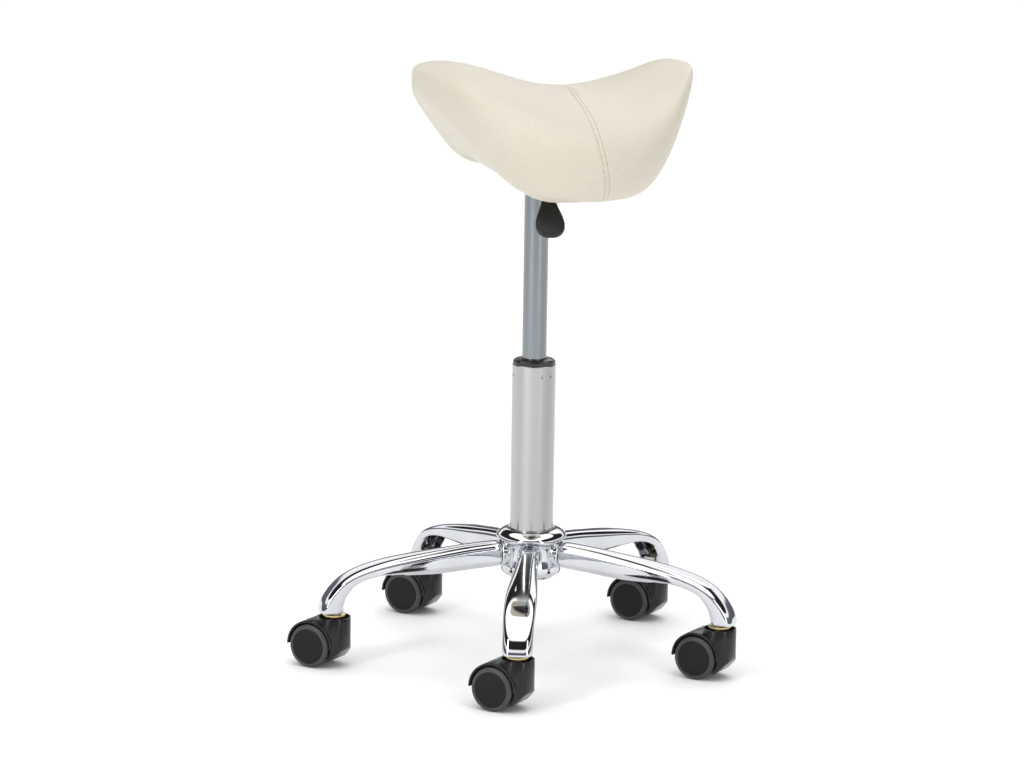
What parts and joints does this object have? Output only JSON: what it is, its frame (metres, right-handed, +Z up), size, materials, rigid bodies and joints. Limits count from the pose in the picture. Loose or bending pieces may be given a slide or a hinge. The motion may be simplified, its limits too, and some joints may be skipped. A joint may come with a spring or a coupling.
{
  "type": "swivel stool",
  "caption": "Saddle-shaped upholstered stool on a height-adjustable gas column with a chromed star base and twin-wheel casters.",
  "frame": {"origin": "on the floor under the column's axis", "axes": "+Z up along the column, the sitter faces -Y, the sitter's left is +X"},
  "size_m": [0.5096, 0.4888, 0.6922],
  "materials": {
    "chrome_base": "mirror chrome plating",
    "caster_plastic": "glossy moulded nylon",
    "zinc_steel": "bright zinc plating",
    "wheel_plastic": "fine moulded texture",
    "tyre_grey": "soft grey tread",
    "zinc_yellow": "yellow passivated zinc",
    "column_steel": "drawn steel, satin along the tube",
    "guide_plastic": "moulded guide",
    "bearing_steel": "ground steel",
    "cage_brass": "pressed brass",
    "damper_rubber": "moulded rubber",
    "cylinder_steel": "ground and coated steel",
    "plate_paint": "black powder coat",
    "board_plastic": "moulded shell",
    "foam": "moulded foam",
    "cream_leather": "cream synthetic leather with a fine grain",
    "lever_plastic": "fine moulded texture"
  },
  "bodies": {
    "base": {"hub": "chrome_base", "leg_1": "chrome_base", "leg_2": "chrome_base", "leg_3": "chrome_base", "leg_4": "chrome_base", "leg_5": "chrome_base", "caster_sockets": "chrome_base", "caster_stems": "zinc_yellow", "outer_tube": "column_steel", "top_guide_bush": "guide_plastic", "thrust_race_lower": "bearing_steel"},
    "bearing_cage": {"thrust_cage": "cage_brass", "thrust_balls": "bearing_steel"},
    "spindle": {"piston_rod": "bearing_steel", "thrust_race_upper": "bearing_steel", "damper_ring": "damper_rubber", "retaining_clip": "bearing_steel"},
    "seat": {"gas_cylinder": "cylinder_steel", "seat_plate": "plate_paint", "plate_screws": "zinc_steel", "tee_nuts": "zinc_steel", "seat_board": "board_plastic", "seat_foam": "foam", "rear_cover": "cream_leather", "front_cover": "cream_leather", "lever_pin": "zinc_steel"},
    "lever": {"lever_rod": "plate_paint", "lever_paddle": "lever_plastic"},
    "valve": {"valve_pin": "bearing_steel"},
    "caster_1": {"caster_1_housing": "caster_plastic", "caster_1_axle": "zinc_steel"},
    "caster_1_left_wheel": {"caster_1_left_rim": "wheel_plastic", "caster_1_left_tyre": "tyre_grey"},
    "caster_1_right_wheel": {"caster_1_right_rim": "wheel_plastic", "caster_1_right_tyre": "tyre_grey"},
    "caster_2": {"caster_2_housing": "caster_plastic", "caster_2_axle": "zinc_steel"},
    "caster_2_left_wheel": {"caster_2_left_rim": "wheel_plastic", "caster_2_left_tyre": "tyre_grey"},
    "caster_2_right_wheel": {"caster_2_right_rim": "wheel_plastic", "caster_2_right_tyre": "tyre_grey"},
    "caster_3": {"caster_3_housing": "caster_plastic", "caster_3_axle": "zinc_steel"},
    "caster_3_left_wheel": {"caster_3_left_rim": "wheel_plastic", "caster_3_left_tyre": "tyre_grey"},
    "caster_3_right_wheel": {"caster_3_right_rim": "wheel_plastic", "caster_3_right_tyre": "tyre_grey"},
    "caster_4": {"caster_4_housing": "caster_plastic", "caster_4_axle": "zinc_steel"},
    "caster_4_left_wheel": {"caster_4_left_rim": "wheel_plastic", "caster_4_left_tyre": "tyre_grey"},
    "caster_4_right_wheel": {"caster_4_right_rim": "wheel_plastic", "caster_4_right_tyre": "tyre_grey"},
    "caster_5": {"caster_5_housing": "caster_plastic", "caster_5_axle": "zinc_steel"},
    "caster_5_left_wheel": {"caster_5_left_rim": "wheel_plastic", "caster_5_left_tyre": "tyre_grey"},
    "caster_5_right_wheel": {"caster_5_right_rim": "wheel_plastic", "caster_5_right_tyre": "tyre_grey"}
  },
  "joints": [
    {"name": "seat_swivel", "type": "hinge", "parent": "base", "child": "spindle", "pos_m": [0, 0, 0.1], "axis": [0, 0, 1], "continuous": true},
    {"name": "cage_spin", "type": "hinge", "parent": "base", "child": "bearing_cage", "pos_m": [0, 0, 0.1], "axis": [0, 0, 1], "continuous": true},
    {"name": "seat_lift", "type": "slide", "parent": "spindle", "child": "seat", "axis": [0, 0, 1], "range_m": [-0.19, 0]},
    {"name": "lever_lift", "type": "hinge", "parent": "seat", "child": "lever", "pos_m": [-0.04938, 0.00782, 0.5985], "axis": [0.1564, 0.9877, 0], "range_deg": [0, 4.5], "stiffness_Nm_per_rad": 6, "springref_deg": -5.73},
    {"name": "valve_press", "type": "slide", "parent": "seat", "child": "valve", "axis": [0, 0, 1], "range_m": [-0.0041, 0]},
    {"name": "caster_1_swivel", "type": "hinge", "parent": "base", "child": "caster_1", "pos_m": [0, 0.231, 0.05], "axis": [0, 0, 1], "continuous": true},
    {"name": "caster_1_left_roll", "type": "hinge", "parent": "caster_1", "child": "caster_1_left_wheel", "pos_m": [0.01446, 0.24623, 0.025], "axis": [-0.7254, 0.6884, 0], "continuous": true},
    {"name": "caster_1_right_roll", "type": "hinge", "parent": "caster_1", "child": "caster_1_right_wheel", "pos_m": [0.01446, 0.24623, 0.025], "axis": [-0.7254, 0.6884, 0], "continuous": true},
    {"name": "caster_2_swivel", "type": "hinge", "parent": "base", "child": "caster_2", "pos_m": [-0.21969, 0.07138, 0.05], "axis": [0, 0, 1], "continuous": true},
    {"name": "caster_2_left_roll", "type": "hinge", "parent": "caster_2", "child": "caster_2_left_wheel", "pos_m": [-0.20524, 0.08662, 0.025], "axis": [-0.7254, 0.6884, 0], "continuous": true},
    {"name": "caster_2_right_roll", "type": "hinge", "parent": "caster_2", "child": "caster_2_right_wheel", "pos_m": [-0.20524, 0.08662, 0.025], "axis": [-0.7254, 0.6884, 0], "continuous": true},
    {"name": "caster_3_swivel", "type": "hinge", "parent": "base", "child": "caster_3", "pos_m": [-0.13578, -0.18688, 0.05], "axis": [0, 0, 1], "continuous": true},
    {"name": "caster_3_left_roll", "type": "hinge", "parent": "caster_3", "child": "caster_3_left_wheel", "pos_m": [-0.12132, -0.17165, 0.025], "axis": [-0.7254, 0.6884, 0], "continuous": true},
    {"name": "caster_3_right_roll", "type": "hinge", "parent": "caster_3", "child": "caster_3_right_wheel", "pos_m": [-0.12132, -0.17165, 0.025], "axis": [-0.7254, 0.6884, 0], "continuous": true},
    {"name": "caster_4_swivel", "type": "hinge", "parent": "base", "child": "caster_4", "pos_m": [0.13578, -0.18688, 0.05], "axis": [0, 0, 1], "continuous": true},
    {"name": "caster_4_left_roll", "type": "hinge", "parent": "caster_4", "child": "caster_4_left_wheel", "pos_m": [0.15023, -0.17165, 0.025], "axis": [-0.7254, 0.6884, 0], "continuous": true},
    {"name": "caster_4_right_roll", "type": "hinge", "parent": "caster_4", "child": "caster_4_right_wheel", "pos_m": [0.15023, -0.17165, 0.025], "axis": [-0.7254, 0.6884, 0], "continuous": true},
    {"name": "caster_5_swivel", "type": "hinge", "parent": "base", "child": "caster_5", "pos_m": [0.21969, 0.07138, 0.05], "axis": [0, 0, 1], "continuous": true},
    {"name": "caster_5_left_roll", "type": "hinge", "parent": "caster_5", "child": "caster_5_left_wheel", "pos_m": [0.23415, 0.08662, 0.025], "axis": [-0.7254, 0.6884, 0], "continuous": true},
    {"name": "caster_5_right_roll", "type": "hinge", "parent": "caster_5", "child": "caster_5_right_wheel", "pos_m": [0.23415, 0.08662, 0.025], "axis": [-0.7254, 0.6884, 0], "continuous": true}
  ],
  "couplings": [
    {"joint": "cage_spin", "follows": "seat_swivel", "ratio": 0.5},
    {"joint": "valve_press", "follows": "lever_lift", "m_per_rad": -0.05}
  ]
}
